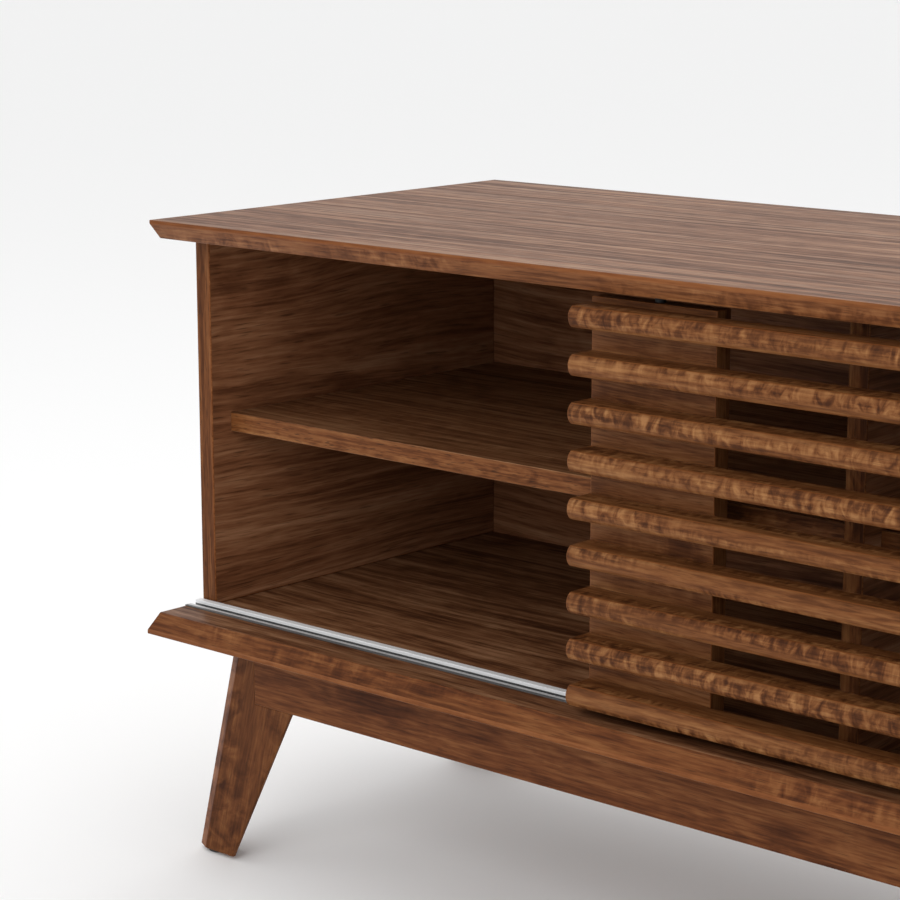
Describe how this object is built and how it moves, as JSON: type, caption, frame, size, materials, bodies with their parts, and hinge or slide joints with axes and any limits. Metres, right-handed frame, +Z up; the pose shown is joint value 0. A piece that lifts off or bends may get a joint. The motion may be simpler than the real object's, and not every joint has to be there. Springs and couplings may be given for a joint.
{
  "type": "media cabinet",
  "caption": "Low walnut media cabinet on splayed legs, with open shelved bays and a horizontally slatted door that slides along the front.",
  "frame": {"origin": "middle of the cabinet's footprint, on the floor", "axes": "+X along the length, +Y towards the back, +Z up; the door and open bays face -Y"},
  "size_m": [1.223, 0.405, 0.508],
  "materials": {
    "walnut_top": "satin walnut veneer, grain along the length",
    "walnut_case": "satin walnut veneer",
    "walnut_door": "satin oiled walnut, figured",
    "walnut_frame": "satin walnut",
    "walnut_panel": "satin walnut-veneered fibreboard",
    "beech": "plain beech dowel",
    "track_aluminium": "satin anodised",
    "nylon": "dark moulded nylon",
    "grommet_plastic": "dark brown moulded plastic",
    "screw_steel": "zinc-plated"
  },
  "bodies": {
    "cabinet": {"base_dowels": "beech", "base_screws": "screw_steel", "bottom_panel": "walnut_top", "cable_grommets": "grommet_plastic", "case_screws": "screw_steel", "centre_divider": "walnut_case", "cross_rail": "walnut_frame", "foot_glides": "nylon", "front_apron": "walnut_frame", "front_left_block": "walnut_frame", "front_left_leg": "walnut_frame", "front_right_block": "walnut_frame", "front_right_leg": "walnut_frame", "left_back_panel": "walnut_panel", "left_rail": "walnut_frame", "left_shelf": "walnut_case", "left_side": "walnut_case", "lower_track": "track_aluminium", "rear_apron": "walnut_frame", "rear_left_block": "walnut_frame", "rear_left_leg": "walnut_frame", "rear_right_block": "walnut_frame", "rear_right_leg": "walnut_frame", "right_back_panel": "walnut_panel", "right_rail": "walnut_frame", "right_shelf": "walnut_case", "right_side": "walnut_case", "shelf_dowels": "beech", "top_dowels": "beech", "top_panel": "walnut_top", "upper_track": "track_aluminium", "upper_track_stops": "nylon"},
    "door": {"door_left_stile": "walnut_door", "door_right_stile": "walnut_door", "slat_1": "walnut_door", "slat_2": "walnut_door", "slat_3": "walnut_door", "slat_4": "walnut_door", "slat_5": "walnut_door", "slat_6": "walnut_door", "slat_7": "walnut_door", "slat_8": "walnut_door", "slat_9": "walnut_door", "slat_screws": "screw_steel", "door_guide_pins": "nylon", "left_roller_housing": "nylon", "right_roller_housing": "nylon", "left_roller_axle": "screw_steel", "right_roller_axle": "screw_steel"},
    "left_roller": {"left_roller": "nylon"},
    "right_roller": {"right_roller": "nylon"}
  },
  "joints": [
    {"name": "door_slide", "type": "slide", "parent": "cabinet", "child": "door", "axis": [1, 0, 0], "range_m": [-0.4, 0.4]},
    {"name": "left_roller_spin", "type": "hinge", "parent": "door", "child": "left_roller", "pos_m": [-0.14665, -0.161, 0.212], "axis": [0, 1, 0], "continuous": true},
    {"name": "right_roller_spin", "type": "hinge", "parent": "door", "child": "right_roller", "pos_m": [0.14665, -0.161, 0.212], "axis": [0, 1, 0], "continuous": true}
  ],
  "couplings": [
    {"joint": "left_roller_spin", "follows": "door_slide", "rad_per_m": 93.458},
    {"joint": "right_roller_spin", "follows": "door_slide", "rad_per_m": 93.458}
  ]
}
